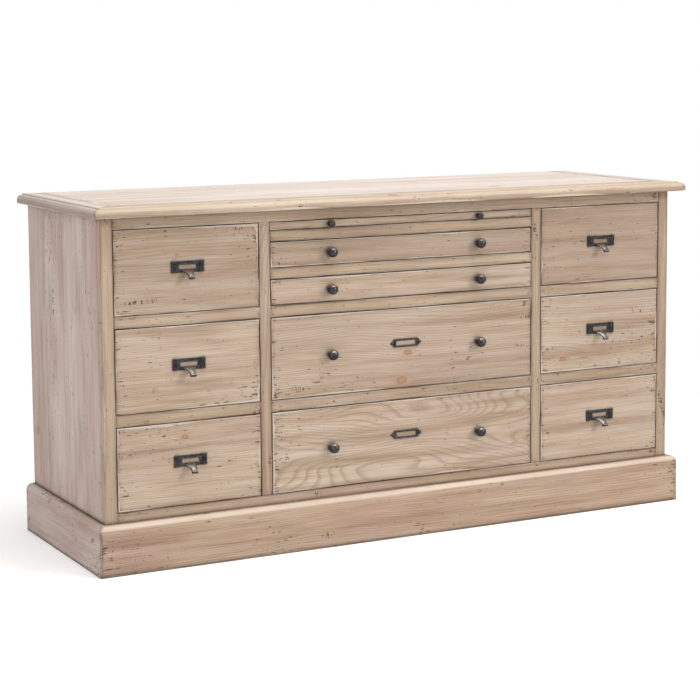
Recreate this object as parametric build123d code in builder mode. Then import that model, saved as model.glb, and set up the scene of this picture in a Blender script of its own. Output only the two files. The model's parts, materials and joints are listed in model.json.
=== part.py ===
import os

from build123d import *

# A floor-standing pine sideboard with ten drawers and a pull-out slide, in millimetres.
# +X runs to the right, +Y to the back and +Z up. The origin is on the floor under the middle of the top.

# Carcass
body_width = 1600
body_depth = 514
side_panel_thickness = 22
partition_thickness = 18
bottom_board_thickness = 18
back_thickness = 8

# Moulded top
top_thickness = 24
overhang_side = 28
overhang_front = 40
moulding_width = 13.6
ovolo_radius = 12
quirk_height = 2.5

# Plinth
plinth_height = 121
plinth_thickness = 22
plinth_round = 12

# Face frame
frame_thickness = 22
outer_stile_width = 30
middle_stile_width = 28
side_opening_width = 371
top_rail_height = 30
rail_height = 28
thin_rail_height = 27
bottom_rail_height = 63
bottom_rail_top = 144
opening_height = 202.5
slide_opening_height = 21

# Drawers
front_thickness = 20
front_gap = 2
front_sill_gap = 1.5
front_arris = 1.2
drawer_side_thickness = 12
drawer_side_inset = 3
drawer_headroom = 9
drawer_tail_gap = 15
housing_depth = 8
base_thickness = 6
base_lift = 8
groove_depth = 5
back_drop = 5
run_clearance = 0.3

# Runners and guides
runner_reach = 25
guide_height = 15
guide_clearance = 0.5

# Pull-out slide
slide_thickness = 17
slide_depth = 420

# Knobs
knob_radius = 13
knob_reach = 29
small_knob_radius = 9
small_knob_reach = 21
knob_spacing = 420
neck_share = 0.4
collar_share = 0.62
collar_thickness = 2.5
shank_radius = 2.5

# Card-frame pulls on the side drawers
pull_width = 83
pull_height = 27
pull_thickness = 2.5
pull_window_width = 45
pull_window_height = 13
pull_rise = 7
column_width = 8
column_thickness = 5
tongue_root_width = 38
tongue_root_height = 5
tongue_tip_width = 13
tongue_tip_height = 4
tongue_reach = 27
tongue_drop = 24
tip_radius = 4
tip_overhang = 1

# Label holders on the deep middle drawers
label_width = 87
label_height = 20
label_thickness = 2
label_window_width = 55
label_window_height = 11.5
label_rise = 13
pin_radius = 2.4
pin_height = 3.2

# Places that follow from the sizes
body_height = bottom_rail_top + 3 * opening_height + 2 * rail_height + top_rail_height
shallow_height = (opening_height - slide_opening_height - 2 * thin_rail_height) / 2
side_x = body_width / 2
panel_x = side_x - side_panel_thickness
outer_x = side_x - outer_stile_width
middle_x = outer_x - side_opening_width
centre_x = middle_x - middle_stile_width
partition_x = (middle_x + centre_x) / 2
partition_out = partition_x + partition_thickness / 2
partition_in = partition_x - partition_thickness / 2
top_front_y = -(body_depth + overhang_front) / 2
face_y = top_front_y + overhang_front
back_y = face_y + body_depth
inside_front_y = face_y + frame_thickness
inside_back_y = back_y - back_thickness
front_back_y = face_y + front_thickness
tail_y = inside_back_y - drawer_tail_gap

# Each opening in a column as its lower and upper edge
row_bottoms = [bottom_rail_top + row * (opening_height + rail_height) for row in range(3)]
deep_rows = [(z, z + opening_height) for z in row_bottoms]
slide_top = deep_rows[2][1]
slide_bottom = slide_top - slide_opening_height
upper_shallow = (slide_bottom - thin_rail_height - shallow_height, slide_bottom - thin_rail_height)
lower_shallow = (row_bottoms[2], row_bottoms[2] + shallow_height)
slide_row = (slide_bottom, slide_top)
side_rows = deep_rows
centre_rows = [deep_rows[0], deep_rows[1], lower_shallow, upper_shallow, slide_row]

# Each column as its opening's edges and the carcass faces beside it
left_column = {"opening": (-outer_x, -middle_x), "walls": (-panel_x, -partition_out), "rows": side_rows}
right_column = {"opening": (middle_x, outer_x), "walls": (partition_out, panel_x), "rows": side_rows}
centre_column = {"opening": (-centre_x, centre_x), "walls": (-partition_in, partition_in), "rows": centre_rows}
columns = [left_column, centre_column, right_column]

os.makedirs("parts", exist_ok=True)


def block(x, y, z, mode=Mode.ADD):
    """A square-edged block between three pairs of faces, in the part that is being built."""
    with Locations(((x[0] + x[1]) / 2, (y[0] + y[1]) / 2, (z[0] + z[1]) / 2)):
        Box(x[1] - x[0], y[1] - y[0], z[1] - z[0], mode=mode)


def write(shape, name):
    """Labels a finished piece and writes it out."""
    shape.label = name
    export_step(shape, f"parts/{name}.step")


def loose_blocks(blocks):
    """Blocks that touch and stay separate solids of one group."""
    solids = []
    for x, y, z in blocks:
        with BuildPart() as piece:
            block(x, y, z)
        solids.append(piece.part)
    return Compound(children=solids)


# ---- Top: a raised field, a quirk and an ovolo along the front and both ends ----

top_x = side_x + overhang_side
field_x = top_x - moulding_width
field_bottom = body_height + top_thickness - quirk_height

with BuildPart() as top_slab:
    block((-top_x, top_x), (top_front_y, back_y), (body_height, field_bottom))
    moulded_edges = top_slab.edges().group_by(Axis.Z)[-1].sort_by(Axis.Y)[:-1]
    fillet(moulded_edges, radius=ovolo_radius)
    block(
        (-field_x, field_x),
        (top_front_y + moulding_width, back_y),
        (field_bottom, field_bottom + quirk_height),
    )
write(top_slab.part, "top_slab")

# ---- Carcass boards ----

for name, x in (("side_panel_left", (-side_x, -panel_x)), ("side_panel_right", (panel_x, side_x))):
    with BuildPart() as side_panel:
        block(x, (inside_front_y, back_y), (0, body_height))
    write(side_panel.part, name)

with BuildPart() as bottom_board:
    block(
        (-panel_x, panel_x),
        (inside_front_y, inside_back_y),
        (bottom_rail_top - bottom_board_thickness, bottom_rail_top),
    )
write(bottom_board.part, "bottom_board")

with BuildPart() as back_panel:
    block(
        (-panel_x, panel_x),
        (inside_back_y, back_y),
        (bottom_rail_top - bottom_board_thickness, body_height),
    )
write(back_panel.part, "back_panel")

with BuildPart() as partitions:
    for x in ((-partition_out, -partition_in), (partition_in, partition_out)):
        block(x, (inside_front_y, inside_back_y), (bottom_rail_top, body_height))
write(partitions.part, "partitions")

# ---- Face frame ----

frame_y = (face_y, inside_front_y)

with BuildPart() as outer_stiles:
    for x in ((-side_x, -outer_x), (outer_x, side_x)):
        block(x, frame_y, (0, body_height))
write(outer_stiles.part, "outer_stiles")

with BuildPart() as middle_stiles:
    for x in ((-middle_x, -centre_x), (centre_x, middle_x)):
        block(x, frame_y, (bottom_rail_top, slide_top))
write(middle_stiles.part, "middle_stiles")

with BuildPart() as top_rail:
    block((-outer_x, outer_x), frame_y, (slide_top, body_height))
write(top_rail.part, "top_rail")

with BuildPart() as bottom_rail:
    block((-outer_x, outer_x), frame_y, (bottom_rail_top - bottom_rail_height, bottom_rail_top))
write(bottom_rail.part, "bottom_rail")

with BuildPart() as drawer_rails:
    for column in columns:
        for lower, upper in zip(column["rows"], column["rows"][1:]):
            block(column["opening"], frame_y, (lower[1], upper[0]))
write(drawer_rails.part, "drawer_rails")

# ---- Runners that carry the drawers, with a guide beside each drawer side ----

inside_y = (inside_front_y, inside_back_y)
box_inset = front_gap + drawer_side_inset
runner_blocks = []
for column in columns:
    opening, walls, rows = column["opening"], column["walls"], column["rows"]
    left_runner = (walls[0], opening[0] + runner_reach)
    right_runner = (opening[1] - runner_reach, walls[1])
    left_guide = (walls[0], opening[0] + box_inset - guide_clearance)
    right_guide = (opening[1] - box_inset + guide_clearance, walls[1])
    ledges = [upper[0] for upper in rows[1:]] + [body_height]
    for row, ledge in zip(rows, ledges):
        runner_blocks += [(x, inside_y, (row[1], ledge)) for x in (left_runner, right_runner)]
        guide_z = (row[0], row[0] + guide_height)
        runner_blocks += [(x, inside_y, guide_z) for x in (left_guide, right_guide)]
write(loose_blocks(runner_blocks), "drawer_runners")

# ---- Plinth: boards mitred at the front corners, rounded over along the top ----

plinth_x = side_x + plinth_thickness
plinth_front_y = face_y - plinth_thickness

with BuildPart() as plinth_front:
    with BuildSketch():
        Polygon(
            (-plinth_x, plinth_front_y),
            (plinth_x, plinth_front_y),
            (side_x, face_y),
            (-side_x, face_y),
            align=None,
        )
    extrude(amount=plinth_height)
    fillet(plinth_front.edges().group_by(Axis.Z)[-1].sort_by(Axis.Y)[0], radius=plinth_round)
write(plinth_front.part, "plinth_front")

for name, side in (("plinth_left", -1), ("plinth_right", 1)):
    with BuildPart() as plinth_side:
        with BuildSketch():
            Polygon(
                (side * plinth_x, plinth_front_y),
                (side * side_x, face_y),
                (side * side_x, back_y),
                (side * plinth_x, back_y),
                align=None,
            )
        extrude(amount=plinth_height)
        top_edges = plinth_side.edges().group_by(Axis.Z)[-1].filter_by(Axis.Y).sort_by(Axis.X)
        fillet(top_edges[0] if side < 0 else top_edges[-1], radius=plinth_round)
    write(plinth_side.part, name)


# ---- Hardware ----


def face_plane(x, z):
    """The plane on the drawers' face at a place, facing forwards."""
    return Plane(origin=(x, face_y, z), x_dir=(1, 0, 0), z_dir=(0, -1, 0))


def make_knobs(places, radius, reach, seat):
    """Turned knobs, each a collar, a neck and a ball, with a shank as long as the seat is thick."""
    neck_radius = neck_share * radius
    collar_radius = collar_share * radius
    ball_centre = reach - radius
    neck_end = ball_centre - (radius**2 - neck_radius**2) ** 0.5
    with BuildPart() as knobs:
        for x, z in places:
            with BuildSketch(Plane(origin=(x, face_y, z), x_dir=(0, -1, 0), z_dir=(0, 0, 1))):
                with BuildLine():
                    Polyline(
                        (reach, 0),
                        (-seat, 0),
                        (-seat, shank_radius),
                        (0, shank_radius),
                        (0, collar_radius),
                        (collar_thickness, collar_radius),
                        (collar_thickness, neck_radius),
                        (neck_end, neck_radius),
                    )
                    ThreePointArc((neck_end, neck_radius), (ball_centre, radius), (reach, 0))
                make_face()
            revolve(axis=Axis((x, face_y, z), (0, -1, 0)))
    return knobs.part


def make_card_pull(x, z):
    """A card frame with two end columns, and a finger tongue that tapers forwards and down to a rolled tip."""
    root_z = z - (pull_window_height + tongue_root_height) / 2
    tip_z = z - tongue_drop
    with BuildPart() as pull:
        with BuildSketch(face_plane(x, z)):
            Rectangle(pull_width, pull_height)
            Rectangle(pull_window_width, pull_window_height, mode=Mode.SUBTRACT)
        extrude(amount=pull_thickness)
        with BuildSketch(face_plane(x, z)):
            with GridLocations(pull_width - column_width, 0, 2, 1):
                Rectangle(column_width, pull_height)
        extrude(amount=column_thickness)
        with BuildSketch(face_plane(x, root_z)):
            Rectangle(tongue_root_width, tongue_root_height)
        with BuildSketch(face_plane(x, tip_z).offset(tongue_reach)):
            Rectangle(tongue_tip_width, tongue_tip_height)
        loft()
        with Locations(Location((x, face_y - tongue_reach, tip_z), (0, 90, 0))):
            Cylinder(tip_radius, tongue_tip_width + 2 * tip_overhang)
    return pull.part


def make_label_holder(x, z):
    """A flat frame with round ends, pinned at both."""
    with BuildPart() as holder:
        with BuildSketch(face_plane(x, z)):
            SlotOverall(label_width, label_height)
            Rectangle(label_window_width, label_window_height, mode=Mode.SUBTRACT)
        extrude(amount=label_thickness)
        with BuildSketch(face_plane(x, z)):
            with GridLocations((label_width + label_window_width) / 2, 0, 2, 1):
                Circle(pin_radius)
        extrude(amount=pin_height)
    return holder.part


# ---- Drawers ----


def make_drawer(name, opening, row, knob_places=()):
    """A drawer's front, its box of two sides and a back, and its base, in that opening."""
    front_x = (opening[0] + front_gap, opening[1] - front_gap)
    front_z = (row[0] + front_sill_gap, row[1] - front_gap)
    box_x = (opening[0] + box_inset, opening[1] - box_inset)
    inner_x = (box_x[0] + drawer_side_thickness, box_x[1] - drawer_side_thickness)
    side_z = (row[0] + run_clearance, row[1] - drawer_headroom)
    side_y = (front_back_y - housing_depth, tail_y)
    base_z = (side_z[0] + base_lift, side_z[0] + base_lift + base_thickness)
    base_x = (inner_x[0] - groove_depth, inner_x[1] + groove_depth)
    base_y = (front_back_y - groove_depth, tail_y)
    back_y_range = (tail_y - drawer_side_thickness, tail_y)
    sides_x = ((box_x[0], inner_x[0]), (inner_x[1], box_x[1]))

    with BuildPart() as front:
        block(front_x, (face_y, front_back_y), front_z)
        fillet(front.faces().sort_by(Axis.Y)[0].edges(), radius=front_arris)
        for x in sides_x:
            block(x, (side_y[0], front_back_y), side_z, mode=Mode.SUBTRACT)
        block(inner_x, (base_y[0], front_back_y), base_z, mode=Mode.SUBTRACT)
        for x, z in knob_places:
            with Locations(Location((x, (face_y + front_back_y) / 2, z), (90, 0, 0))):
                Cylinder(shank_radius, front_thickness, mode=Mode.SUBTRACT)
    write(front.part, f"{name}_front")

    walls = []
    for x in sides_x:
        with BuildPart() as side:
            block(x, side_y, side_z)
            block(base_x, base_y, base_z, mode=Mode.SUBTRACT)
        walls.append(side.part)
    with BuildPart() as back:
        block(inner_x, back_y_range, (base_z[1], side_z[1] - back_drop))
    walls.append(back.part)
    write(Compound(children=walls), f"{name}_box")

    with BuildPart() as base:
        block(base_x, (front_back_y, tail_y), base_z)
        block(inner_x, (base_y[0], front_back_y), base_z)
    write(base.part, f"{name}_base")


for side, column in (("left", left_column), ("right", right_column)):
    for level, row in zip(("bottom", "middle", "top"), column["rows"]):
        name = f"{side}_{level}_drawer"
        make_drawer(name, column["opening"], row)
        write(make_card_pull(sum(column["opening"]) / 2, sum(row) / 2 + pull_rise), f"{name}_pull")

centre_names = ("lower_deep_drawer", "upper_deep_drawer", "lower_shallow_drawer", "upper_shallow_drawer")
for name, row in zip(centre_names, centre_rows):
    places = [(x, sum(row) / 2) for x in (-knob_spacing / 2, knob_spacing / 2)]
    make_drawer(name, centre_column["opening"], row, knob_places=places)
    write(make_knobs(places, knob_radius, knob_reach, front_thickness), f"{name}_knobs")
    if row in deep_rows:
        write(make_label_holder(0, sum(row) / 2 + label_rise), f"{name}_label_holder")

# ---- Pull-out slide: a board with a thin lip in front of it and two small knobs ----

lip_x = (-centre_x + front_gap, centre_x - front_gap)
lip_z = (slide_bottom + front_sill_gap, slide_top - front_gap)
lip_middle = sum(lip_z) / 2
slide_places = [(x, lip_middle) for x in (-knob_spacing / 2, knob_spacing / 2)]

with BuildPart() as slide_board:
    block(
        (-centre_x + box_inset, centre_x - box_inset),
        (front_back_y, front_back_y + slide_depth),
        (slide_bottom + run_clearance, slide_bottom + run_clearance + slide_thickness),
    )
write(slide_board.part, "slide_board")

with BuildPart() as slide_lip:
    block(lip_x, (face_y, front_back_y), lip_z)
    fillet(slide_lip.faces().sort_by(Axis.Y)[0].edges(), radius=front_arris)
    for x, z in slide_places:
        with Locations(Location((x, (face_y + front_back_y) / 2, z), (90, 0, 0))):
            Cylinder(shank_radius, front_thickness, mode=Mode.SUBTRACT)
write(slide_lip.part, "slide_lip")

write(make_knobs(slide_places, small_knob_radius, small_knob_reach, front_thickness), "slide_knobs")
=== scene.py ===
import json
import math

import bpy
import numpy as np
from mathutils import Matrix, Vector

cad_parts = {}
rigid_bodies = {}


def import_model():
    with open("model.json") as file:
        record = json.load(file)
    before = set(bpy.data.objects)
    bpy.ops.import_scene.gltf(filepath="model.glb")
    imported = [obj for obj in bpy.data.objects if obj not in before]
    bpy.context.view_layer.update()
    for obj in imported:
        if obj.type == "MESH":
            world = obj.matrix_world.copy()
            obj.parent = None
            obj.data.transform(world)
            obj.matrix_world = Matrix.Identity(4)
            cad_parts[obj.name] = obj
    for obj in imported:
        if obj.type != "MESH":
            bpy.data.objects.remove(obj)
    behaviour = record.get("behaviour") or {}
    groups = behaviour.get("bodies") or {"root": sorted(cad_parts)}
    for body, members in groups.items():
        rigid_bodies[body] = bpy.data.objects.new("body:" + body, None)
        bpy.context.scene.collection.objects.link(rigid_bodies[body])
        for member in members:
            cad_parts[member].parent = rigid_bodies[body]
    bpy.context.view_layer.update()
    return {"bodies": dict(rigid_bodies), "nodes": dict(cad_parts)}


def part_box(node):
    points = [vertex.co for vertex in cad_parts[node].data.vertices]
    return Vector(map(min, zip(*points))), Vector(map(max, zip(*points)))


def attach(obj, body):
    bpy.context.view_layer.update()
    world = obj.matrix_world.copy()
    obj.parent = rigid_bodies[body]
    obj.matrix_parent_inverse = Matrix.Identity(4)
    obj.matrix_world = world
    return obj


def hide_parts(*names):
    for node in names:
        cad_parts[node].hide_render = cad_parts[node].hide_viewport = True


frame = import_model()

# A washed pine sideboard. Sizes are in metres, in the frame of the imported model.
MM = 0.001

# Camera, fitted to the photograph
PICTURE = 700
FOCAL_PIXELS = 1953.8
CENTRE_ROW = 260.0
CAMERA_PLACE = (-2.3503, -4.4438, 1.2185)
CAMERA_YAW = 0.481
CAMERA_PITCH = 0.108
CAMERA_ROLL = -0.007
SENSOR = 36.0

# Boards
ARRIS = 1.3 * MM
GRID_STEP = 11 * MM
TOP_PLANKS = (0.24, 0.27, 0.23, 0.26)
SIDE_PLANKS = (0.2, 0.28, 0.27, 0.25)
MOULDING_STEP = 9 * MM
BOARD_SHIFT = 37.0

# Gaps round a drawer front: beside and above it, and below it
GAP = 2 * MM
SILL = 1.5 * MM

# ---- Smooth noise on points, the same on every run ----

HASH_PRIMES = (73856093, 19349663, 83492791)


def hashed(cells, seed):
    """A value from 0 to 1 for each lattice cell."""
    a, b, c = (cells[:, axis] * prime for axis, prime in enumerate(HASH_PRIMES))
    h = a ^ b ^ c ^ (seed + 1) * 40503
    h = (h ^ (h >> 13)) * 1274126177 & 0xFFFFFFFF
    h = (h ^ (h >> 16)) & 0xFFFF
    return h / 0xFFFF


def noise(points, scale, seed=0):
    """Value noise from 0 to 1 at points, with about scale cells in a metre."""
    p = np.asarray(points, float) * scale + 1000
    base = np.floor(p).astype(np.int64)
    t = p - base
    t = t * t * (3 - 2 * t)
    total = np.zeros(len(p))
    for corner in range(8):
        step = np.array([corner & 1, corner >> 1 & 1, corner >> 2 & 1])
        weight = np.prod(np.where(step, t, 1 - t), axis=1)
        total += weight * hashed(base + step, seed)
    return total


# ---- Meshes ----


def stations(low, high, radius, step):
    """Grid lines from low to high, close together at the rounded ends."""
    inner_low, inner_high = low + 2.2 * radius, high - 2.2 * radius
    count = max(1, math.ceil((inner_high - inner_low) / step))
    middle = np.linspace(inner_low, inner_high, count + 1)
    near = np.array([0, 0.3, 0.65, 1]) * radius
    return np.concatenate([low + near, middle, high - near[::-1]])


def quads_from(corners):
    """Quads from four grids of point numbers, one for each corner."""
    return np.stack([c.ravel() for c in corners], axis=1)


def grid_box(lines):
    """The welded shell of a box whose faces are grids on the given lines."""
    points, quads, count = [], [], 0
    for axis in range(3):
        i, j = (axis + 1) % 3, (axis + 2) % 3
        a, b = np.meshgrid(lines[i], lines[j], indexing="ij")
        index = np.arange(a.size).reshape(a.shape)
        corners = [index[:-1, :-1], index[1:, :-1], index[1:, 1:], index[:-1, 1:]]
        faces = quads_from(corners)
        for place, order in ((lines[axis][0], faces[:, ::-1]), (lines[axis][-1], faces)):
            sheet = np.zeros((a.size, 3))
            sheet[:, i], sheet[:, j], sheet[:, axis] = a.ravel(), b.ravel(), place
            points.append(sheet)
            quads.append(order + count)
            count += a.size
    points, quads = np.concatenate(points), np.concatenate(quads)
    _, first, inverse = np.unique(np.round(points, 7), axis=0, return_index=True, return_inverse=True)
    return points[first], inverse.ravel()[quads]


def board_marks(points, low, high, along, seed, figure, tone):
    """What the wood material reads: place in the board, and the board's own chance values."""
    size = high - low
    others = [k for k in range(3) if k != along]
    across, deep = sorted(others, key=lambda k: -size[k])
    local = points - (low + high) / 2
    grain = np.stack([local[:, along], local[:, across], local[:, deep]], axis=1)
    inset = np.minimum(points - low, high - points)
    arris = np.sort(inset, axis=1)[:, 1]
    wear = np.stack([arris, inset[:, along], np.full(len(points), tone)], axis=1)
    chance = np.random.default_rng(seed).random()
    board = np.tile([chance * BOARD_SHIFT, figure, chance], (len(points), 1))
    return grain, wear, board


def board(low, high, seed, along=None, radius=ARRIS, step=GRID_STEP, figure=0.1, tone=0.5):
    """A board with rounded, unevenly worn arrises, as (points, quads, grain, wear, board)."""
    low, high = np.array(low, float), np.array(high, float)
    radius = min(radius, (high - low).min() / 6)
    lines = [stations(low[k], high[k], radius, step) for k in range(3)]
    points, quads = grid_box(lines)
    along = int(np.argmax(high - low)) if along is None else along
    marks = board_marks(points, low, high, along, seed, figure, tone)
    rub = noise(points, 38, seed) ** 2 + 1.4 * np.clip(noise(points, 14, seed + 7) - 0.68, 0, 1)
    r = np.clip(radius * (0.45 + 1.1 * rub), radius * 0.3, (high - low).min() / 2.4)[:, None]
    core = np.clip(points, low + r, high - r)
    away = points - core
    away *= r / np.maximum(np.linalg.norm(away, axis=1, keepdims=True), 1e-9)
    return (core + away, quads, *marks)


def planks(low, high, split, shares, along, seed, **more):
    """Boards glued edge to edge, splitting the range on one axis into shares."""
    made = []
    edges = low[split] + (high[split] - low[split]) * np.cumsum([0, *shares]) / sum(shares)
    for k, (start, end) in enumerate(zip(edges, edges[1:])):
        a, b = list(low), list(high)
        a[split], b[split] = start, end
        tone = 0.3 + 0.4 * np.random.default_rng(seed + k).random()
        made.append(board(a, b, seed + k, along=along, tone=tone, **more))
    return made


def quarter_round(radius, top):
    """Points of (inset, height) on a quarter circle that rises to the top."""
    angles = np.linspace(0, math.pi / 2, 9)
    return [(radius * (1 - math.cos(a)), top - radius * (1 - math.sin(a))) for a in angles]


def moulded_run(profile, start, end, inward, mitres, seed, figure):
    """A profile of (inset, height) points swept along a line. A mitre of 1 follows the inset at that end."""
    start, end, inward = Vector(start), Vector(end), Vector(inward)
    direction = (end - start).normalized()
    length = (end - start).length
    count = max(2, math.ceil(length / MOULDING_STEP))
    profile = np.array(profile, float)
    rings = []
    for share in np.linspace(0, 1, count + 1):
        shift = profile[:, 0] * (mitres[0] * (1 - share) - mitres[1] * share)
        along = share * length + shift
        foot = [start + direction * a for a in along]
        rings.append([f + inward * inset + Vector((0, 0, rise)) for f, (inset, rise) in zip(foot, profile)])
    points = np.array(rings, float).reshape(-1, 3)
    across = len(profile)
    index = np.arange(len(points)).reshape(count + 1, across)
    corners = [index[:-1], index[1:], np.roll(index[1:], -1, axis=1), np.roll(index[:-1], -1, axis=1)]
    quads = quads_from(corners)
    caps = [index[0].tolist(), index[-1][::-1].tolist()]
    low, high = points.min(0), points.max(0)
    axis = int(np.argmax(np.abs(np.array(direction))))
    marks = board_marks(points, low, high, axis, seed, figure, tone=0.5)
    rub = (noise(points, 30, seed) - 0.5) * 0.5 * MM
    middle = points.reshape(count + 1, across, 3).mean(axis=1, keepdims=True)
    towards = (middle - points.reshape(count + 1, across, 3)).reshape(-1, 3)
    towards[:, axis] = 0
    towards /= np.maximum(np.linalg.norm(towards, axis=1, keepdims=True), 1e-9)
    points = points + towards * np.clip(rub, 0, 1)[:, None]
    return (points, quads.tolist() + caps, *marks)


def add_mesh(name, points, faces, smooth=True):
    mesh = bpy.data.meshes.new(name)
    mesh.from_pydata(np.asarray(points).tolist(), [], [list(f) for f in faces])
    if smooth:
        mesh.polygons.foreach_set("use_smooth", [True] * len(mesh.polygons))
    mesh.update()
    made = bpy.data.objects.new(name, mesh)
    bpy.context.scene.collection.objects.link(made)
    return made


def wooden(name, nodes, body, boards, material):
    """One piece made of boards that stands for CAD nodes and rides on their body."""
    points = np.concatenate([b[0] for b in boards])
    faces, count = [], 0
    for b in boards:
        faces += [[v + count for v in face] for face in np.asarray(b[1], dtype=object).tolist()]
        count += len(b[0])
    made = add_mesh(name, points, faces)
    for k, label in ((2, "grain"), (3, "wear"), (4, "board")):
        values = np.concatenate([b[k] for b in boards]).astype(np.float32)
        made.data.attributes.new(label, "FLOAT_VECTOR", "POINT").data.foreach_set("vector", values.ravel())
    made.data.materials.append(material)
    finish_piece(made, nodes, body)


def finish_piece(made, nodes, body):
    """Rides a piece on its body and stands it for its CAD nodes."""
    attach(made, body)
    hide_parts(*nodes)


# ---- Materials ----


def srgb(r, g, b):
    """A linear colour from a display colour in 0 to 255."""
    values = [c / 255 for c in (r, g, b)]
    return tuple(c / 12.92 if c <= 0.04045 else ((c + 0.055) / 1.055) ** 2.4 for c in values) + (1.0,)


class Graph:
    """Short calls that add shader nodes and return their output sockets."""

    def __init__(self, name):
        self.material = bpy.data.materials.new(name)
        self.material.use_nodes = True
        self.tree = self.material.node_tree
        self.tree.nodes.clear()
        self.output = self.add("ShaderNodeOutputMaterial")

    def add(self, kind, **settings):
        node = self.tree.nodes.new(kind)
        for key, value in settings.items():
            setattr(node, key, value)
        return node

    def plug(self, value, socket):
        if isinstance(value, bpy.types.NodeSocket):
            self.tree.links.new(value, socket)
        elif value is not None:
            socket.default_value = value

    def math(self, operation, a, b=None, c=None):
        node = self.add("ShaderNodeMath", operation=operation)
        for value, socket in zip((a, b, c), node.inputs):
            self.plug(value, socket)
        return node.outputs[0]

    def vector(self, operation, a, b=None):
        node = self.add("ShaderNodeVectorMath", operation=operation)
        self.plug(a, node.inputs[0])
        self.plug(b, node.inputs[1])
        return node.outputs["Value" if operation == "LENGTH" else "Vector"]

    def stretch(self, place, along, across, deep=1.0):
        """A place with each axis multiplied by its own scale."""
        return self.vector("MULTIPLY", place, (along, across, deep))

    def split(self, vector):
        node = self.add("ShaderNodeSeparateXYZ")
        self.plug(vector, node.inputs[0])
        return node.outputs

    def join(self, x, y, z):
        node = self.add("ShaderNodeCombineXYZ")
        for value, socket in zip((x, y, z), node.inputs):
            self.plug(value, socket)
        return node.outputs[0]

    def noise(self, vector, scale, detail, rough=0.5):
        node = self.add("ShaderNodeTexNoise")
        self.plug(vector, node.inputs["Vector"])
        self.plug(scale, node.inputs["Scale"])
        self.plug(detail, node.inputs["Detail"])
        self.plug(rough, node.inputs["Roughness"])
        return node.outputs[0]

    def ramp(self, value, low, high, start=0.0, end=1.0):
        """A smooth step from start to end as value goes from low to high."""
        node = self.add("ShaderNodeMapRange", interpolation_type="SMOOTHSTEP")
        for item, socket in zip((value, low, high, start, end), node.inputs):
            self.plug(item, socket)
        return node.outputs[0]

    def mix(self, share, a, b):
        node = self.add("ShaderNodeMix", data_type="RGBA")
        self.plug(share, node.inputs["Factor"])
        self.plug(a, node.inputs["A"])
        self.plug(b, node.inputs["B"])
        return node.outputs["Result"]

    def attribute(self, name):
        return self.add("ShaderNodeAttribute", attribute_name=name).outputs["Vector"]

    def surface(self, colour, roughness, height, strength, distance, metallic=0.0, specular=0.5):
        shader = self.add("ShaderNodeBsdfPrincipled")
        self.plug(colour, shader.inputs["Base Color"])
        self.plug(roughness, shader.inputs["Roughness"])
        shader.inputs["Metallic"].default_value = metallic
        shader.inputs["Specular IOR Level"].default_value = specular
        bump = self.add("ShaderNodeBump")
        bump.inputs["Strength"].default_value = strength
        bump.inputs["Distance"].default_value = distance
        self.plug(height, bump.inputs["Height"])
        self.plug(bump.outputs[0], shader.inputs["Normal"])
        self.plug(shader.outputs[0], self.output.inputs["Surface"])
        return self.material


# Knot cells in a metre along and across the grain, and growth rings in a metre
KNOT_CELLS = (4.2, 11.0)
RING_COUNT = 250.0

# Stand-in values of arris, end, tone, offset, figure and chance for boards without attributes
INNER_BOARD = (0.02, 0.1, 0.5, 3.0, 0.15, 0.5)

MARK_BROWN = srgb(66, 47, 36)
# Colour of the painted shade, with dirt, in the gaps round fronts and rails
GAP_SHADE_AND_DIRT_BROWN = srgb(66, 49, 39)
# Colour of the painted shade, with dirt, in the inner corners
CORNER_SHADE_AND_DIRT_BROWN = srgb(84, 66, 54)
GRIME_BROWN = srgb(96, 74, 58)
BLUSH = srgb(184, 155, 143)
WORN_PALE = srgb(216, 203, 188)
# Colour of the painted light on faces that turn partly upwards
UPWARD_LIGHT_PALE = srgb(226, 211, 194)
# Colour of the painted light on faces that turn straight up
FLAT_TOP_LIGHT = srgb(208, 197, 188)


def board_place(g, from_object):
    """A point's place in its board, its distance from arris and end, and the board's own values."""
    if from_object is None:
        place = g.attribute("grain")
        arris, end, tone = g.split(g.attribute("wear"))
        offset, figure, chance = g.split(g.attribute("board"))
        return place, arris, end, tone, offset, figure, chance
    parts = g.split(g.add("ShaderNodeTexCoord").outputs["Object"])
    place = g.join(*[parts[k] for k in from_object])
    return place, *INNER_BOARD


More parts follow.
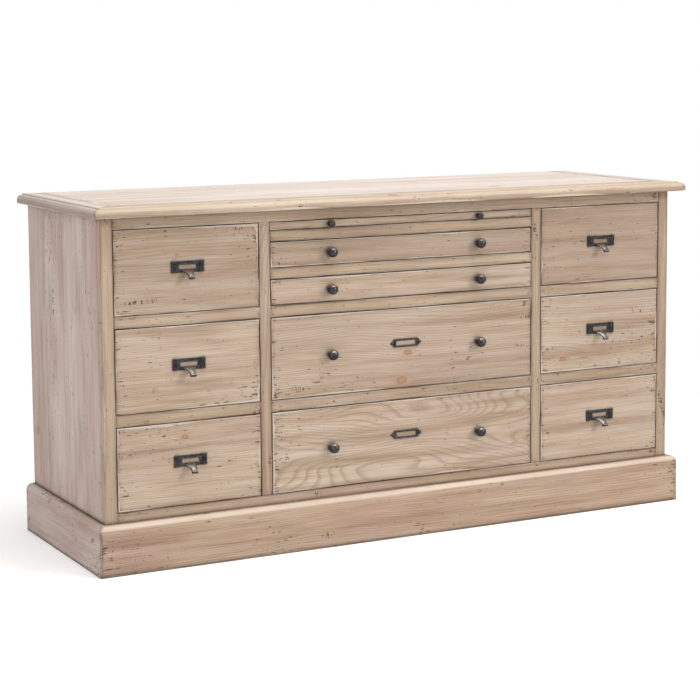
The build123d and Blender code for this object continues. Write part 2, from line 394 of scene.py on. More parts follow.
def knot_marks(g, shifted):
    """Knots, one chance in each cell: the bend of the rings, the distance in radii, and if one is there."""
    su, sv, _ = g.split(shifted)
    cells = g.add("ShaderNodeTexVoronoi", voronoi_dimensions="2D", feature="F1")
    g.plug(g.stretch(shifted, *KNOT_CELLS), cells.inputs["Vector"])
    cells.inputs["Scale"].default_value = 1.0
    cells.inputs["Randomness"].default_value = 0.85
    knot_u, knot_v, _ = g.split(cells.outputs["Position"])
    lot, size, _ = g.split(cells.outputs["Color"])
    present = g.math("GREATER_THAN", lot, 0.82)
    du = g.math("SUBTRACT", su, g.math("DIVIDE", knot_u, KNOT_CELLS[0]))
    dv = g.math("SUBTRACT", sv, g.math("DIVIDE", knot_v, KNOT_CELLS[1]))
    radius = g.math("MULTIPLY", g.math("MULTIPLY_ADD", size, 0.0060, 0.002), present)
    long_du = g.math("MULTIPLY", du, 0.62)
    square = g.math("ADD", g.math("MULTIPLY", long_du, long_du), g.math("MULTIPLY", dv, dv))
    wobble = g.noise(shifted, 60.0, 1.0)
    reach = g.math("ADD", g.math("SQRT", square), g.math("MULTIPLY_ADD", wobble, 0.003, -0.0015))
    flow_radius = g.math("MULTIPLY", radius, 1.9)
    flow = g.math("MULTIPLY", flow_radius, flow_radius)
    outside = g.math("MAXIMUM", g.math("ADD", square, 1e-7), g.math("ADD", flow, 1e-7))
    near_along = g.ramp(g.math("ABSOLUTE", du), 0.075, 0.02)
    near_across = g.ramp(g.math("ABSOLUTE", dv), 0.034, 0.012)
    push = g.math("MULTIPLY", g.math("DIVIDE", flow, outside), g.math("MULTIPLY", near_along, near_across))
    share = g.math("DIVIDE", reach, g.math("MAXIMUM", radius, 1e-5))
    return g.math("MULTIPLY", dv, push), share, present


def growth_rings(g, place, shifted, bend, figure, chance):
    """Lines of late wood: straight ones, mixed with long closed loops by the board's figure."""
    _, v, w = g.split(place)
    su, sv, _ = g.split(shifted)
    drift = g.noise(g.stretch(shifted, 1.6, 5.0), 1.0, 2.0)
    ripple = g.noise(g.stretch(shifted, 7.0, 26.0), 1.0, 1.0)
    straight = g.math("ADD", g.math("SUBTRACT", v, bend), g.math("MULTIPLY", w, 0.35))
    bent_v = g.math("ADD", g.math("SUBTRACT", sv, bend), g.math("MULTIPLY", ripple, 0.012))
    loop_place = g.join(g.math("MULTIPLY", su, 1.5), g.math("MULTIPLY", bent_v, 7.5), chance)
    loops = g.math("MULTIPLY", g.noise(loop_place, 1.0, 1.0, 0.3), 0.15)
    rings = g.math("ADD", straight, g.math("MULTIPLY", g.math("SUBTRACT", loops, straight), figure))
    rings = g.math("ADD", rings, g.math("MULTIPLY", drift, 0.042))
    rings = g.math("ADD", rings, g.math("MULTIPLY", ripple, 0.004))
    turn = g.math("FRACT", g.math("MULTIPLY", rings, RING_COUNT))
    return g.math("MULTIPLY", g.ramp(turn, 0.48, 0.92), g.ramp(turn, 1.0, 0.94))


def distress_marks(g, u, shifted, cluster, arris, end, amount):
    """Dark dashes and chips in clusters and near the edges, ticks across the grain, and worm holes."""
    near_end = g.ramp(end, 0.05, 0.0, 0.0, 0.13)
    near_arris = g.ramp(arris, 0.010, 0.0, 0.0, 0.09)
    bias = g.math("ADD", g.math("MULTIPLY_ADD", cluster, 0.6, -0.30), g.math("ADD", near_end, near_arris))
    bias = g.math("MULTIPLY", bias, 0.5 * amount)
    dashes = g.noise(g.stretch(shifted, 48.0, 215.0, 100.0), 1.0, 2.0)
    dash = g.ramp(g.math("ADD", dashes, bias), 0.712, 0.745)
    chips = g.noise(g.stretch(shifted, 100.0, 190.0, 90.0), 1.0, 2.0)
    chip = g.ramp(g.math("ADD", chips, bias), 0.755, 0.785)
    tick_zone = g.ramp(g.noise(g.stretch(shifted, 9.0, 34.0), 1.0, 1.0), 0.70, 0.76)
    tick_zone = g.math("MULTIPLY", tick_zone, g.ramp(g.math("ABSOLUTE", u), 0.07, 0.09))
    ticks = g.ramp(g.noise(g.stretch(shifted, 270.0, 75.0, 90.0), 1.0, 1.0), 0.52, 0.60)
    tick = g.math("MULTIPLY", ticks, tick_zone)
    holes = g.add("ShaderNodeTexVoronoi", voronoi_dimensions="2D", feature="F1")
    g.plug(shifted, holes.inputs["Vector"])
    holes.inputs["Scale"].default_value = 75.0
    hole_lot = g.split(holes.outputs["Color"])[0]
    hole_size = g.math("MULTIPLY", g.math("GREATER_THAN", hole_lot, 0.972), 0.085)
    hole = g.math("LESS_THAN", holes.outputs["Distance"], hole_size)
    marks = g.math("MAXIMUM", g.math("MAXIMUM", dash, chip), g.math("MAXIMUM", tick, hole))
    return g.math("MULTIPLY", marks, min(1.0, amount))


def knot_colour(g, colour, share, present):
    """A faint halo, a ringed eye and a darker rim, and the rim itself for the relief."""
    halo = g.math("MULTIPLY", g.ramp(share, 3.2, 0.9, 0.0, 0.45), present)
    colour = g.mix(halo, colour, srgb(170, 134, 106))
    eye = g.math("MULTIPLY", g.ramp(share, 1.15, 0.9), present)
    eye_ring = g.math("SINE", g.math("MULTIPLY", share, 16.0))
    eye_colour = g.mix(g.ramp(eye_ring, -1.0, 1.0), srgb(134, 94, 68), srgb(166, 124, 94))
    colour = g.mix(g.math("MULTIPLY", eye, 0.6), colour, eye_colour)
    rim = g.math("MULTIPLY", g.ramp(share, 0.7, 0.98), g.ramp(share, 1.3, 1.02))
    rim = g.math("MULTIPLY", rim, present)
    return g.mix(g.math("MULTIPLY", rim, 0.35), colour, srgb(92, 66, 48)), rim


def corner_shade_and_dirt(g, patch):
    """Painted shade in the inner corners, where pieces meet, darker where ambient occlusion finds nearby
    surfaces; it stands also for dirt there.
    """
    corner = g.add("ShaderNodeAmbientOcclusion", samples=6)
    corner.inputs["Distance"].default_value = 12 * MM
    return g.math("MULTIPLY", g.ramp(corner.outputs["AO"], 0.90, 0.42), g.ramp(patch, 0.2, 0.6, 0.55, 0.9))


def pine(
    name, pale, mid, dark, wash, wash_share, rings_share, distress=1.0, grime=0.4, rub=0.5, gap_shade_and_dirt=0.0,
    smears=0.62, smear_length=1.4, blushes=0.6, rounding=0.0, flat_top_light=0.0, from_object=None,
):
    """Washed old pine: growth rings that flow round knots, fibre, a pale wash and the marks of wear."""
    g = Graph(name)
    place, arris, end, tone, offset, figure, chance = board_place(g, from_object)
    up = g.split(g.add("ShaderNodeNewGeometry").outputs["Normal"])[2]
    shift = g.join(offset, g.math("MULTIPLY", offset, 1.7), g.math("MULTIPLY", offset, 0.6))
    shifted = g.vector("ADD", place, shift)
    bend, knot_share, knot_present = knot_marks(g, shifted)
    late = growth_rings(g, place, shifted, bend, figure, chance)

    # Broad patches, streaks, smears and fibre
    patch = g.noise(g.stretch(shifted, 2.6, 7.0), 1.0, 3.0, 0.55)
    blush = g.noise(g.stretch(shifted, 2.0, 3.0), 1.0, 2.0)
    streak = g.noise(g.stretch(shifted, 2.2, 55.0), 1.0, 3.0, 0.6)
    smear = g.noise(g.stretch(shifted, smear_length, 22.0), 1.0, 5.0, 0.72)
    fibre = g.noise(g.stretch(shifted, 9.0, 650.0, 650.0), 1.0, 3.0, 0.6)
    ring_depth = g.math("MULTIPLY", late, g.ramp(streak, 0.25, 0.75, 0.35, 1.0))
    ring_depth = g.math("MULTIPLY", ring_depth, g.math("MULTIPLY_ADD", figure, 0.40, rings_share))
    colour = g.mix(g.ramp(patch, 0.3, 0.7), pale, mid)
    colour = g.mix(g.ramp(blush, 0.46, 0.70, 0.0, blushes), colour, BLUSH)
    colour = g.mix(g.ramp(smear, 0.42, 0.75, 0.0, smears), colour, dark)
    colour = g.mix(ring_depth, colour, dark)
    colour = g.mix(g.ramp(fibre, 0.38, 0.70, 0.0, 0.50), colour, dark)
    colour = g.mix(g.math("MULTIPLY", g.ramp(streak, 0.35, 0.7), wash_share), colour, wash)
    colour = g.mix(g.ramp(tone, 0.0, 1.0, 0.34, 0.0), colour, dark)
    colour, rim = knot_colour(g, colour, knot_share, knot_present)

    # Marks, grime beside the arrises, painted shade with dirt in the gaps, what is rubbed pale, painted
    # light on faces that turn upwards, then painted shade with dirt in the inner corners
    cluster = g.noise(g.stretch(shifted, 5.0, 9.0), 1.0, 2.0)
    marks = distress_marks(g, g.split(place)[0], shifted, cluster, arris, end, distress)
    colour = g.mix(g.math("MULTIPLY", marks, 0.86), colour, MARK_BROWN)
    soiled = g.math("ADD", g.ramp(arris, 0.014, 0.0, 0.0, 0.6), g.ramp(arris, 0.004, 0.0, 0.0, 0.4))
    soiled = g.math("MULTIPLY", soiled, g.ramp(patch, 0.25, 0.6, 0.45, 1.0))
    colour = g.mix(g.math("MULTIPLY", soiled, grime), colour, GRIME_BROWN)
    # Painted shade with dirt in the gaps: dark brown close to the arris, strongest on faces that do not turn
    # upwards
    if gap_shade_and_dirt > 0:
        gap_shade_and_dirt_mask = g.math("MULTIPLY", g.ramp(arris, 0.0034, 0.0012), g.ramp(patch, 0.35, 0.65, 0.55, 1.0))
        gap_shade_and_dirt_mask = g.math("MULTIPLY", gap_shade_and_dirt_mask, g.ramp(up, 0.3, 0.0, 0.2, 1.0))
        colour = g.mix(g.math("MULTIPLY", gap_shade_and_dirt_mask, gap_shade_and_dirt), colour, GAP_SHADE_AND_DIRT_BROWN)
    rubbed = g.math("LESS_THAN", arris, g.math("MULTIPLY_ADD", cluster, 0.020, -0.0088))
    colour = g.mix(g.math("MULTIPLY", rubbed, rub), colour, WORN_PALE)
    # Painted light: faces that turn straight up are made paler, as if lit from above
    if flat_top_light > 0:
        colour = g.mix(g.ramp(up, 0.90, 0.98, 0.0, flat_top_light), colour, FLAT_TOP_LIGHT)
    # Painted light: faces that turn partly upwards, such as rounded arrises and roundovers, are made paler
    # as if lit from above; rounding sets how much
    if rounding > 0:
        upper = g.math("MULTIPLY", g.ramp(up, 0.12, 0.5), g.ramp(up, 0.98, 0.9))
        upper = g.math("MULTIPLY", upper, g.ramp(patch, 0.25, 0.6, 0.6, 1.0))
        colour = g.mix(g.math("MULTIPLY", upper, rounding), colour, UPWARD_LIGHT_PALE)
    # Painted shade, with dirt, in the inner corners where pieces meet
    colour = g.mix(corner_shade_and_dirt(g, patch), colour, CORNER_SHADE_AND_DIRT_BROWN)

    height = g.math("MULTIPLY_ADD", late, 0.35, g.math("MULTIPLY", fibre, 0.45))
    height = g.math("SUBTRACT", height, g.math("MULTIPLY", marks, 1.6))
    height = g.math("SUBTRACT", height, g.math("MULTIPLY", rim, 0.5))
    roughness = g.ramp(fibre, 0.2, 0.8, 0.52, 0.72)
    return g.surface(colour, roughness, height, strength=0.35, distance=0.9 * MM, specular=0.35)


def blackened_metal():
    """Dark patinated metal, with a painted highlight on faces that turn upwards, which stands also for
    rubbed wear.
    """
    g = Graph("blackened_metal")
    place = g.add("ShaderNodeTexCoord").outputs["Object"]
    cloud = g.noise(place, 140.0, 4.0, 0.6)
    grit = g.noise(place, 900.0, 2.0, 0.6)
    colour = g.mix(g.ramp(cloud, 0.35, 0.7), srgb(46, 45, 48), srgb(78, 76, 79))
    # Painted highlight and reflection: faces that turn upwards are lightened, standing also for rubbed wear
    # there
    up = g.split(g.add("ShaderNodeNewGeometry").outputs["Normal"])[2]
    colour = g.mix(g.ramp(up, 0.35, 0.85, 0.0, 0.7), colour, srgb(168, 160, 154))
    colour = g.mix(g.ramp(grit, 0.55, 0.7, 0.0, 0.35), colour, srgb(34, 30, 28))
    roughness = g.ramp(cloud, 0.3, 0.7, 0.42, 0.26)
    height = g.math("ADD", g.math("MULTIPLY", grit, 0.4), cloud)
    return g.surface(colour, roughness, height, strength=0.10, distance=0.0006, metallic=0.9)


fronts_pine = pine(
    "pine_fronts", srgb(194, 175, 153), srgb(180, 156, 133), srgb(122, 96, 74), srgb(200, 188, 175),
    wash_share=0.42, grime=0.42, rub=0.5, rings_share=0.50, gap_shade_and_dirt=0.4, rounding=0.7,
)
FRAME = (srgb(197, 176, 151), srgb(183, 160, 133), srgb(124, 98, 74), srgb(200, 186, 169))
FRAME_WEAR = {"wash_share": 0.38, "rub": 0.3, "rings_share": 0.48}
frame_pine = pine("pine_frame", *FRAME, grime=0.5, gap_shade_and_dirt=0.4, **FRAME_WEAR)
rails_pine = pine("pine_rails", *FRAME, grime=0.55, gap_shade_and_dirt=0.9, **FRAME_WEAR)
plinth_pine = pine(
    "pine_plinth", srgb(193, 169, 145), srgb(178, 149, 124), srgb(118, 88, 66), srgb(200, 184, 168),
    wash_share=0.36, distress=1.15, grime=0.35, rub=0.6, rings_share=0.48, rounding=0.7,
)
side_pine = pine(
    "pine_sides", srgb(214, 198, 188), srgb(183, 161, 150), srgb(132, 108, 96), srgb(216, 204, 197),
    wash_share=0.35, distress=1.2, grime=0.25, rub=0.3, rings_share=0.10, smears=0.45,
    smear_length=4.0, rounding=0.15,
)
top_pine = pine(
    "pine_top", srgb(210, 201, 194), srgb(201, 188, 178), srgb(156, 135, 118), srgb(215, 209, 204),
    wash_share=0.5, distress=0.7, grime=0.3, rub=0.5, rings_share=0.26, smears=0.55, blushes=0.25,
)
# Painted shade: a darker, greyer copy of the moulding for the side runs of the top, with their upward faces
# painted back to pale
shaded_ends_pine = pine(
    "pine_moulding_ends_shaded", srgb(186, 168, 158), srgb(160, 141, 132), srgb(118, 98, 88), srgb(200, 187, 179),
    wash_share=0.35, distress=0.8, grime=0.35, rub=0.5, rings_share=0.25, rounding=0.2, flat_top_light=0.6,
    blushes=0.3,
)
edge_pine = pine(
    "pine_moulding", srgb(198, 180, 158), srgb(186, 165, 142), srgb(134, 108, 84), srgb(206, 192, 176),
    wash_share=0.4, distress=0.8, grime=0.45, rub=0.6, rings_share=0.32, rounding=0.25,
)
INSIDE = (srgb(206, 184, 156), srgb(192, 166, 134), srgb(152, 120, 88), srgb(206, 192, 172))
BARE = {"wash_share": 0.25, "distress": 0.2, "rings_share": 0.14, "smears": 0.35}
inner_x_pine = pine("pine_inside_x", *INSIDE, from_object=(0, 2, 1), **BARE)
inner_y_pine = pine("pine_inside_y", *INSIDE, from_object=(1, 2, 0), **BARE)
metal = blackened_metal()

# ---- Carcass ----


def ends(node):
    """A CAD node's lowest and highest corners as arrays."""
    low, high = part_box(node)
    return np.array(low), np.array(high)


def moulded_top():
    """The top: planks between a moulded front run and two moulded ends, mitred at the front corners."""
    low, high = ends("top_slab")
    width = 70 * MM
    quirk, ovolo, ledge = 3 * MM, 11.5 * MM, 14.5 * MM
    thick = high[2] - low[2]
    arc = quarter_round(ovolo, thick - quirk)
    face = [(0.0004, 0.0), (0, 0.0006), (0, thick - quirk - ovolo - 0.0006)]
    crown = [(ledge - 0.0003, thick - quirk), (ledge, thick - 0.0009), (ledge + 0.0009, thick)]
    profile = face + arc + crown + [(width, thick), (width, 0.0)]
    z = low[2]
    x0, x1, y0, y1 = low[0], high[0], low[1], high[1]
    front = moulded_run(profile, (x0, y0, z), (x1, y0, z), (0, 1, 0), (1, 1), 11, figure=0.0)
    left = moulded_run(profile, (x0, y1, z), (x0, y0, z), (1, 0, 0), (0, 1), 12, figure=0.0)
    right = moulded_run(profile, (x1, y0, z), (x1, y1, z), (-1, 0, 0), (1, 0), 13, figure=0.0)
    field_low = (x0 + width, y0 + width, z)
    field_high = (x1 - width, y1, high[2])
    field = planks(field_low, field_high, 1, TOP_PLANKS, 0, 20, radius=0.5 * MM, step=16 * MM, figure=0.2)
    wooden("top", ["top_slab"], "carcass", field, top_pine)
    wooden("top_moulding_front", ["top_slab"], "carcass", [front], edge_pine)
    wooden("top_moulding_ends", ["top_slab"], "carcass", [left, right], shaded_ends_pine)


def side_panels():
    for side in ("left", "right"):
        node = f"side_panel_{side}"
        low, high = ends(node)
        seed = 40 if side == "left" else 50
        made = planks(low, high, 1, SIDE_PLANKS, 2, seed, radius=0.6 * MM, step=14 * MM, figure=0.2)
        wooden(f"{node}_boards", [node], "carcass", made, side_pine)


def face_frame():
    low, high = ends("outer_stiles")
    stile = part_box("top_rail")[0].x - low[0]
    left = board(low, (low[0] + stile, high[1], high[2]), seed=61)
    right = board((high[0] - stile, low[1], low[2]), high, seed=62)
    wooden("outer_stile_boards", ["outer_stiles"], "carcass", [left, right], frame_pine)
    low, high = ends("middle_stiles")
    inner = -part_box("lower_deep_drawer_front")[0].x + GAP
    left = board(low, (-inner, high[1], high[2]), seed=63, figure=0.5)
    right = board((inner, low[1], low[2]), high, seed=64, figure=0.5)
    wooden("middle_stile_boards", ["middle_stiles"], "carcass", [left, right], frame_pine)
    for seed, node in ((65, "top_rail"), (66, "bottom_rail")):
        low, high = ends(node)
        wooden(f"{node}_board", [node], "carcass", [board(low, high, seed=seed)], frame_pine)


def rail_boards():
    """The rails between drawers, each from the top of one front to the sill of the next."""
    low, high = ends("drawer_rails")
    columns = (
        ("left_bottom_drawer", "left_middle_drawer", "left_top_drawer"),
        ("right_bottom_drawer", "right_middle_drawer", "right_top_drawer"),
        ("lower_deep_drawer", "upper_deep_drawer", "lower_shallow_drawer", "upper_shallow_drawer", "slide"),
    )
    made, seed = [], 70
    for column in columns:
        for below, above in zip(column, column[1:]):
            lower = ends(f"{below}_front")
            upper = ends("slide_lip" if above == "slide" else f"{above}_front")
            a = (lower[0][0] - GAP, low[1], lower[1][2] + GAP)
            b = (lower[1][0] + GAP, high[1], upper[0][2] - SILL)
            made.append(board(a, b, along=0, seed=seed))
            seed += 1
    wooden("drawer_rail_boards", ["drawer_rails"], "carcass", made, rails_pine)


def plinth_boards():
    """Plinth boards, rounded over along the top and mitred at the front corners."""
    rounding, thick = 15 * MM, 22 * MM
    low, high = ends("plinth_front")
    tall = high[2] - low[2]
    arc = quarter_round(rounding, tall)
    rise = [(0, z) for z in np.linspace(0.0006, tall - rounding, 8)[:-1]]
    profile = [(0.0006, 0.0)] + rise + arc + [(thick, tall), (thick, 0.0)]
    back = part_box("plinth_left")[1].y
    x0, x1, y0 = low[0], high[0], low[1]
    front = moulded_run(profile, (x0, y0, 0), (x1, y0, 0), (0, 1, 0), (1, 1), 91, figure=0.25)
    left = moulded_run(profile, (x0, back, 0), (x0, y0, 0), (1, 0, 0), (0, 1), 92, figure=0.3)
    right = moulded_run(profile, (x1, y0, 0), (x1, back, 0), (-1, 0, 0), (1, 0), 93, figure=0.3)
    wooden("plinth_front_board", ["plinth_front"], "carcass", [front], plinth_pine)
    wooden("plinth_left_board", ["plinth_left"], "carcass", [left], side_pine)
    wooden("plinth_right_board", ["plinth_right"], "carcass", [right], side_pine)


# ---- Drawers ----

# Tones set for some drawer fronts; the upper shallow drawer's low tone is painted shade under the top's
# overhang
TONES_AND_SHADE = {"right_top_drawer": 0.0, "upper_shallow_drawer": 0.05, "left_top_drawer": 0.35}
FIGURES = {
    "lower_deep_drawer": 0.85,
    "upper_deep_drawer": 0.35,
    "left_top_drawer": 0.3,
    "right_middle_drawer": 0.3,
}


def drawer_fronts():
    for k, body in enumerate(b for b in frame["bodies"] if b.endswith("_drawer")):
        low, high = ends(f"{body}_front")
        tone = 0.35 + 0.5 * np.random.default_rng(200 + k).random()
        own = {"figure": FIGURES.get(body, 0.1), "tone": TONES_AND_SHADE.get(body, tone)}
        made = board(low, high, along=0, seed=100 + k, radius=2.2 * MM, **own)
        wooden(f"{body}_front_board", [f"{body}_front"], body, [made], fronts_pine)
    low, high = ends("slide_lip")
    made = board(low, high, along=0, seed=133, tone=0.5)
    wooden("slide_lip_board", ["slide_lip"], "slide", [made], fronts_pine)


# ---- Hardware ----


def lathe(profile, turns=40):
    """Points and quads of a profile of (reach, radius) turned about the axis that points forwards."""
    reach, radius = np.array(profile, float).T
    angle = np.linspace(0, 2 * math.pi, turns, endpoint=False)[:, None]
    points = np.stack([radius * np.cos(angle), -reach + 0 * angle, radius * np.sin(angle)], axis=2)
    count = len(reach)
    index = np.arange(turns * count).reshape(turns, count)
    after = np.roll(index, -1, axis=0)
    corners = [index[:, :-1], index[:, 1:], after[:, 1:], after[:, :-1]]
    return points.reshape(-1, 3), quads_from(corners)


def knob_profile(radius, reach):
    """A stepped seat, a waisted neck and a ball with a flattened brow."""
    brow = [
        (reach - radius + radius * math.sin(a) * 0.98, radius * math.cos(a))
        for a in np.linspace(-1.05, math.pi / 2 - 0.02, 16)
    ]
    neck, seat_radius = 0.36 * radius, 0.66 * radius
    seat = [(0.0, 0.0), (0.0, seat_radius), (1.2 * MM, seat_radius), (1.8 * MM, 0.58 * radius)]
    waist = [(2.6 * MM, 0.5 * radius), (3.4 * MM, neck), (reach - 1.95 * radius, neck)]
    return seat + waist + brow + [(reach, 0.0)]


def joined(parts):
    """Several (points, faces) as one."""
    points, faces, count = [], [], 0
    for p, f in parts:
        points.append(np.asarray(p, float))
        faces += [[v + count for v in face] for face in f]
        count += len(p)
    return np.concatenate(points), faces


def metal_piece(name, node, body, parts, bevel=0.0):
    """One metal piece that stands for a CAD node, with its edges rounded where a bevel is given."""
    points, faces = joined(parts)
    made = add_mesh(name, points, faces)
    made.data.materials.append(metal)
    if bevel:
        rounding = made.modifiers.new("rounding", "BEVEL")
        rounding.width = bevel
        rounding.segments = 2
        rounding.limit_method = "ANGLE"
        rounding.angle_limit = math.radians(40)
        made.modifiers.new("normals", "WEIGHTED_NORMAL")
    finish_piece(made, [node], body)


def knobs():
    for node in [n for n in frame["nodes"] if n.endswith("_knobs")]:
        low, high = ends(node)
        radius = (high[2] - low[2]) / 2
        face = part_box("outer_stiles")[0].y
        reach = face - low[1]
        centre_z = (high[2] + low[2]) / 2
        shape = lathe(knob_profile(radius, reach))
        places = [np.array([x, face, centre_z]) for x in (low[0] + radius, high[0] - radius)]
        body = "slide" if node.startswith("slide") else node.removesuffix("_knobs")
        metal_piece(f"{node}_turned", node, body, [(shape[0] + place, shape[1]) for place in places])


def slab(x, y, z):
    """A plain box as points and quads, whose edges the bevel rounds."""
    points = [(a, b, c) for a in x for b in y for c in z]
    quads = [(0, 1, 3, 2), (4, 6, 7, 5), (0, 4, 5, 1), (2, 3, 7, 6), (0, 2, 6, 4), (1, 5, 7, 3)]
    return points, quads


def tube_quads(points, around):
    """Point numbers by ring and the quads between the rings of a tube."""
    index = np.arange(len(points)).reshape(-1, around)
    corners = [index[:-1], np.roll(index[:-1], -1, axis=1), np.roll(index[1:], -1, axis=1), index[1:]]
    return index, quads_from(corners).tolist()


def rod(start, end, radius, turns=16):
    """A short round bar between two points, domed a little at both ends."""
    start, end = np.array(start, float), np.array(end, float)
    axis = (end - start) / np.linalg.norm(end - start)
    side = np.cross(axis, (0, 0, 1) if abs(axis[2]) < 0.9 else (1, 0, 0))
    side /= np.linalg.norm(side)
    other = np.cross(axis, side)
    rings = ((start, 0.0), (start, 0.8), (start + axis * radius * 0.25, 1.0))
    rings += ((end - axis * radius * 0.25, 1.0), (end, 0.8), (end, 0.0))
    angle = np.linspace(0, 2 * math.pi, turns, endpoint=False)
    points = []
    for centre, share in rings:
        for a in angle:
            points.append(centre + radius * share * (math.cos(a) * side + math.sin(a) * other))
    return points, tube_quads(points, turns)[1]


def window_frame(x, z, face, width, height, bar_side, bar_top, depth):
    """Four bars round a window."""
    x0, x1, z0, z1 = x - width / 2, x + width / 2, z - height / 2, z + height / 2
    y = (face - depth, face)
    return [
        slab((x0, x1), y, (z1 - bar_top, z1)),
        slab((x0, x1), y, (z0, z0 + bar_top)),
        slab((x0, x0 + bar_side), y, (z0 + bar_top, z1 - bar_top)),
        slab((x1 - bar_side, x1), y, (z0 + bar_top, z1 - bar_top)),
    ]


def tongue(x, root_z, tip_z, face, reach, root_width, tip_width):
    """A curved lip that leaves the frame wide and thin, dips forwards and ends narrow."""
    sections, around = [], 20
    for t in np.linspace(0, 1, 15):
        y = face - reach * (0.06 + 0.94 * t**0.9)
        z = root_z + (tip_z - root_z) * t**1.55
        width = tip_width + (root_width - tip_width) * (1 - t) ** 2.2
        thick = (1.6 + 2.2 * t) * MM
        sections.append((y, z, width, thick))
    points = []
    for y, z, width, thick in sections:
        for a in np.linspace(0, 2 * math.pi, around, endpoint=False):
            bow = 1.3 * MM * (1 - abs(math.cos(a)))
            swell = math.copysign(abs(math.sin(a)) ** 0.7, math.sin(a))
            points.append((x + width / 2 * math.cos(a), y, z + bow + thick * swell))
    index, faces = tube_quads(points, around)
    return points, faces + [index[0][::-1].tolist(), index[-1].tolist()]


FLUTE_RADIUS, FLUTE_SPACING, FLUTE_REACH = 2.2 * MM, 4.1 * MM, 2.6 * MM
CAP_HALF, CAP_HEIGHT, CAP_DEPTH = 6.4 * MM, 2.2 * MM, 4.9 * MM


def fluted_column(centre, z, height, face):
    """Three upright flutes between two square caps."""
    parts = []
    for k in (-1, 0, 1):
        place = centre + k * FLUTE_SPACING
        foot = (place, face - FLUTE_REACH, z - height / 2)
        crown = (place, face - FLUTE_REACH, z + height / 2)
        parts.append(rod(foot, crown, FLUTE_RADIUS))
    cap = (centre - CAP_HALF, centre + CAP_HALF)
    for bottom in (z - height / 2, z + height / 2 - CAP_HEIGHT):
        parts.append(slab(cap, (face - CAP_DEPTH, face), (bottom, bottom + CAP_HEIGHT)))
    return parts


def card_pulls():
    """A card frame between fluted columns, with a curved finger tongue and a rolled tip."""
    frame_height, bar_side, bar_top, frame_depth = 27 * MM, 19 * MM, 6.5 * MM, 2.2 * MM
    rib_half, rib_height, rib_depth = 24 * MM, 1.6 * MM, 3.4 * MM
    low_rib, high_rib = 7 * MM, 5.4 * MM
    root_drop, root_width, tip_width = 9 * MM, 38 * MM, 15 * MM
    roll_inset, roll_half, roll_radius = 4 * MM, 7.4 * MM, 3.9 * MM
    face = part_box("outer_stiles")[0].y
    for node in [n for n in frame["nodes"] if n.endswith("_pull")]:
        low, high = ends(node)
        width = high[0] - low[0]
        x, z = (low[0] + high[0]) / 2, high[2] - frame_height / 2
        parts = window_frame(x, z, face, width, frame_height, bar_side, bar_top, frame_depth)
        for side in (-1, 1):
            parts += fluted_column(x + side * (width / 2 - CAP_HALF), z, frame_height, face)
        for bottom in (z - low_rib, z + high_rib):
            rib = (bottom, bottom + rib_height)
            parts.append(slab((x - rib_half, x + rib_half), (face - rib_depth, face), rib))
        reach = face - low[1] - roll_inset
        tip_z = low[2] + roll_inset
        parts.append(tongue(x, z - root_drop, tip_z, face, reach, root_width, tip_width))
        tip = (face - reach, tip_z)
        parts.append(rod((x - roll_half, *tip), (x + roll_half, *tip), roll_radius, turns=20))
        metal_piece(f"{node}_cast", node, node.removesuffix("_pull"), parts, bevel=0.4 * MM)


def pointed_end(root, tip, side, z, height, face):
    """A thin plate that narrows from the holder's body to a blunt point."""
    shoulder, shoulder_half, nose_half, depth = 5 * MM, 4.5 * MM, 1.5 * MM, 1.8 * MM
    outline = [(root, z - height / 2), (root, z + height / 2), (tip - side * shoulder, z + shoulder_half)]
    outline += [(tip, z + nose_half), (tip, z - nose_half), (tip - side * shoulder, z - shoulder_half)]
    points = [(a, face, b) for a, b in outline] + [(a, face - depth, b) for a, b in outline]
    count = len(outline)
    order = list(range(count))
    faces = [order[::-1], [k + count for k in order]]
    faces += [[k, (k + 1) % count, (k + 1) % count + count, k + count] for k in order]
    if side > 0:
        faces = [f[::-1] for f in faces]
    return points, faces


def label_holders():
    """A bare label frame whose ends come to a blunt point, held by two pins."""
    body_width, bar_side, bar_top, frame_depth = 68 * MM, 6 * MM, 4.2 * MM, 2.2 * MM
    rib_height, rib_depth = 1.5 * MM, 3 * MM
    pin_offset, pin_reach, pin_radius = 4 * MM, 3.2 * MM, 2.3 * MM
    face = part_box("outer_stiles")[0].y
    for node in [n for n in frame["nodes"] if n.endswith("_label_holder")]:
        low, high = ends(node)
        x, z = (low[0] + high[0]) / 2, (low[2] + high[2]) / 2
        width, height = high[0] - low[0], high[2] - low[2]
        parts = window_frame(x, z, face, body_width, height, bar_side, bar_top, frame_depth)
        for bottom in (z - height / 2, z + height / 2 - rib_height):
            rib = (bottom, bottom + rib_height)
            parts.append(slab((x - body_width / 2, x + body_width / 2), (face - rib_depth, face), rib))
        for side in (-1, 1):
            root, tip = x + side * body_width / 2, x + side * width / 2
            parts.append(pointed_end(root, tip, side, z, height, face))
            pin = x + side * (body_width / 2 + pin_offset)
            parts.append(rod((pin, face, z), (pin, face - pin_reach, z), pin_radius))
        metal_piece(f"{node}_cast", node, node.removesuffix("_label_holder"), parts, bevel=0.35 * MM)


moulded_top()
side_panels()
face_frame()
rail_boards()
plinth_boards()
drawer_fronts()
knobs()
card_pulls()
label_holders()

# ---- CAD boards that stay: the hidden carcass and the drawer boxes ----

for name, node in frame["nodes"].items():
    if node.hide_render:
        continue
    runs_deep = name in ("partitions", "drawer_runners", "slide_board") or name.endswith("_box")
    node.data.materials.clear()
    node.data.materials.append(inner_y_pine if runs_deep else inner_x_pine)

# ---- Floor, lights and camera ----

KEY_COLOUR = (1, 0.985, 0.965)


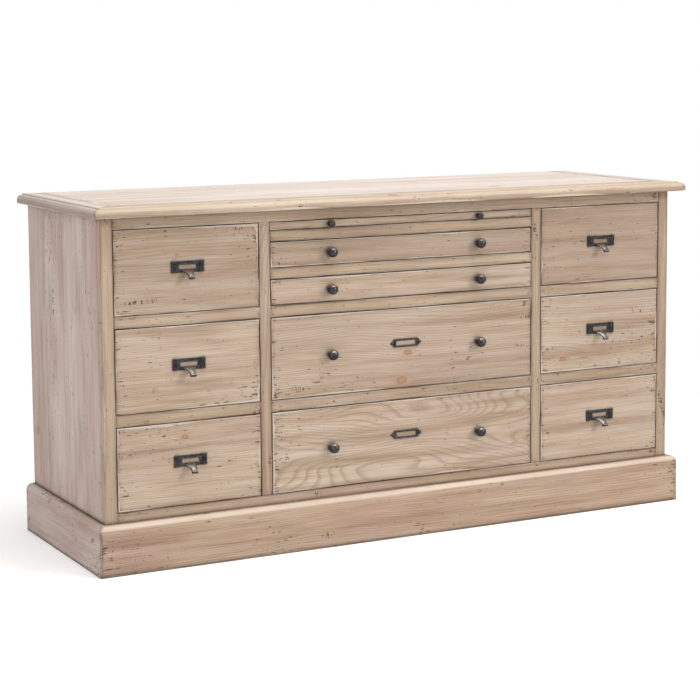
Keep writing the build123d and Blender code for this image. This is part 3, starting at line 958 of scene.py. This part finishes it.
def white_floor():
    """A pale floor that fades into the white background away from the object."""
    lift_strength, fade_start, fade_end, half = 0.22, 1.3, 2.2, 9.0
    g = Graph("pale_floor")
    diffuse = g.add("ShaderNodeBsdfDiffuse")
    diffuse.inputs["Color"].default_value = (0.92, 0.92, 0.92, 1)
    lift = g.add("ShaderNodeEmission")
    lift.inputs["Color"].default_value = (1, 1, 1, 1)
    ray = g.add("ShaderNodeLightPath")
    mirrored = g.math("MAXIMUM", ray.outputs["Is Glossy Ray"], ray.outputs["Is Transmission Ray"])
    seen = g.math("MAXIMUM", ray.outputs["Is Camera Ray"], mirrored)
    both = g.add("ShaderNodeAddShader")
    g.plug(g.math("MULTIPLY", seen, lift_strength), lift.inputs["Strength"])
    g.plug(diffuse.outputs[0], both.inputs[0])
    g.plug(lift.outputs[0], both.inputs[1])
    away = g.vector("LENGTH", g.add("ShaderNodeNewGeometry").outputs["Position"])
    far = g.math("MULTIPLY", g.ramp(away, fade_start, fade_end), seen)
    white = g.add("ShaderNodeEmission")
    white.inputs["Color"].default_value = (1, 1, 1, 1)
    blend = g.add("ShaderNodeMixShader")
    g.plug(far, blend.inputs[0])
    g.plug(both.outputs[0], blend.inputs[1])
    g.plug(white.outputs[0], blend.inputs[2])
    g.plug(blend.outputs[0], g.output.inputs["Surface"])
    corners = [(-half, -half, 0), (half, -half, 0), (half, half, 0), (-half, half, 0)]
    floor = add_mesh("floor", corners, [(0, 1, 2, 3)], smooth=False)
    floor.data.materials.append(g.material)


def white_world(strength):
    """A plain light on the object, and white where the camera, metal and glass see the background."""
    world = bpy.data.worlds.new("studio")
    bpy.context.scene.world = world
    world.use_nodes = True
    tree = world.node_tree
    tree.nodes.clear()
    ray = tree.nodes.new("ShaderNodeLightPath")
    ambient, seen = tree.nodes.new("ShaderNodeBackground"), tree.nodes.new("ShaderNodeBackground")
    ambient.inputs["Strength"].default_value = strength
    ambient.inputs["Color"].default_value = (1, 0.99, 0.98, 1)
    seen.inputs["Strength"].default_value = 1.0
    seen.inputs["Color"].default_value = (1, 1, 1, 1)
    either = ray.outputs["Is Camera Ray"]
    for kind in ("Is Glossy Ray", "Is Transmission Ray"):
        larger = tree.nodes.new("ShaderNodeMath")
        larger.operation = "MAXIMUM"
        tree.links.new(either, larger.inputs[0])
        tree.links.new(ray.outputs[kind], larger.inputs[1])
        either = larger.outputs[0]
    mix = tree.nodes.new("ShaderNodeMixShader")
    out = tree.nodes.new("ShaderNodeOutputWorld")
    tree.links.new(either, mix.inputs[0])
    tree.links.new(ambient.outputs[0], mix.inputs[1])
    tree.links.new(seen.outputs[0], mix.inputs[2])
    tree.links.new(mix.outputs[0], out.inputs["Surface"])


def softbox(name, place, target, size, watts, colour=(1, 1, 1)):
    """A rectangular lamp at a place that faces its target."""
    light = bpy.data.lights.new(name, "AREA")
    light.shape = "RECTANGLE"
    light.size, light.size_y = size
    light.energy = watts
    light.color = colour
    made = bpy.data.objects.new(name, light)
    bpy.context.scene.collection.objects.link(made)
    made.location = place
    made.rotation_euler = (Vector(target) - Vector(place)).to_track_quat("-Z", "Y").to_euler()


def photo_camera():
    """The camera at the photograph's viewpoint."""
    yaw, pitch, roll = CAMERA_YAW, CAMERA_PITCH, CAMERA_ROLL
    ahead = Vector((math.sin(yaw) * math.cos(pitch), math.cos(yaw) * math.cos(pitch), -math.sin(pitch)))
    right = Vector((math.cos(yaw), -math.sin(yaw), 0))
    up = right.cross(ahead)
    right, up = right * math.cos(roll) + up * math.sin(roll), up * math.cos(roll) - right * math.sin(roll)
    data = bpy.data.cameras.new("camera")
    data.sensor_width = SENSOR
    data.lens = FOCAL_PIXELS / PICTURE * SENSOR
    data.shift_y = (CENTRE_ROW - PICTURE / 2) / PICTURE
    made = bpy.data.objects.new("camera", data)
    bpy.context.scene.collection.objects.link(made)
    turn = Matrix((right, up, -ahead)).transposed().to_4x4()
    made.matrix_world = Matrix.Translation(CAMERA_PLACE) @ turn
    bpy.context.scene.camera = made


white_floor()
white_world(strength=0.62)
softbox("key", (5.1, -6.7, 4.3), target=(0, -0.2, 0.5), size=(1.9, 1.9), watts=335, colour=KEY_COLOUR)
softbox("overhead", (0.2, -0.6, 3.2), target=(0, 0, 0.8), size=(2.6, 1.8), watts=64)
softbox("left_fill", (-3.6, -1.6, 1.6), target=(0, 0, 0.4), size=(2.0, 2.0), watts=24)
photo_camera()
bpy.context.scene.view_settings.view_transform = "Standard"
